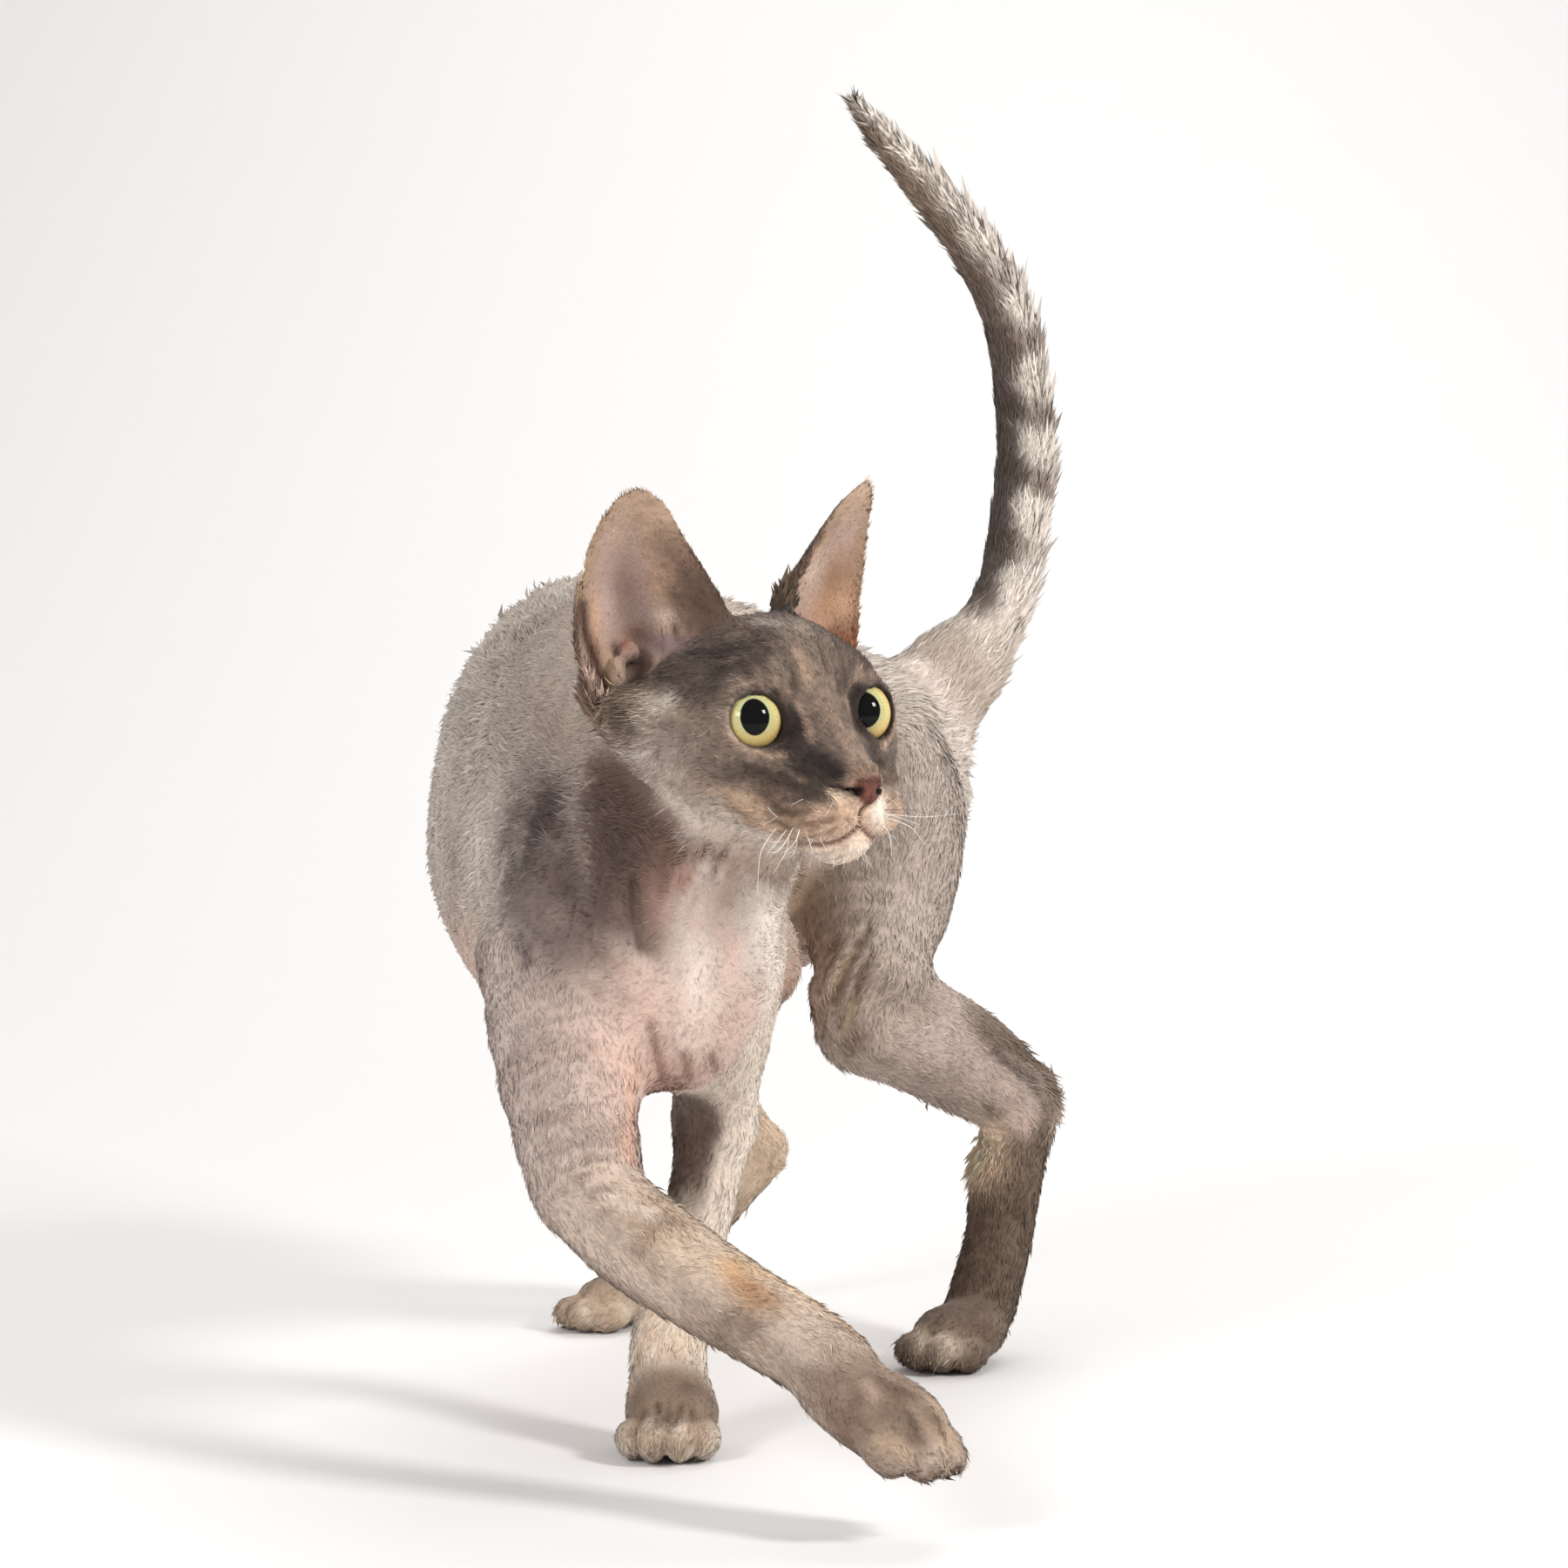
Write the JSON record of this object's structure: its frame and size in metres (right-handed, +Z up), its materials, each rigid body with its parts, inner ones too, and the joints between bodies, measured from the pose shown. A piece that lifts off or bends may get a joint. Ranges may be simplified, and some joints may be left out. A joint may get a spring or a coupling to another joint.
{
  "type": "devon rex cat",
  "caption": "Life-size still model of a slim big-eared short-coated cat, walking with a forepaw raised, head turned and tail up.",
  "frame": {"origin": "centre of the bounding box at floor level, under the body", "axes": "+Z up from the floor; -Y the way the cat walks, towards its nose; +Y to its tail; +X to its left side"},
  "size_m": [0.2239, 0.464, 0.4497],
  "materials": {
    "coat": "matt short wavy fur, grey-beige with brown-grey markings",
    "face": "matt very short fur, taupe mask with paler muzzle and cheeks",
    "ear_skin": "matt thin skin with down, pinkish inside and brown outside",
    "eye": "wet gloss over a yellow-green iris and a dark oval pupil",
    "bare_skin": "satin bare skin of the nose and the pads",
    "claw": "satin pale horn",
    "whisker": "pale stiff hair"
  },
  "bodies": {
    "root": {"head": "face", "neck": "coat", "ear_right": "ear_skin", "ear_left": "ear_skin", "eye_right": "eye", "eye_left": "eye", "trunk_front": "coat", "trunk_middle": "coat", "trunk_rear": "coat", "tail_base": "coat", "tail_middle": "coat", "tail_upper": "coat", "tail_tip": "coat", "foreleg_right_upper": "coat", "foreleg_right_lower": "coat", "foreleg_right_paw": "coat", "foreleg_left_upper": "coat", "foreleg_left_lower": "coat", "foreleg_left_paw": "coat", "hindleg_left_upper": "coat", "hindleg_left_lower": "coat", "hindleg_left_foot": "coat", "hindleg_left_paw": "coat", "hindleg_right_upper": "coat", "hindleg_right_lower": "coat", "hindleg_right_foot": "coat", "hindleg_right_paw": "coat"}
  },
  "joints": []
}
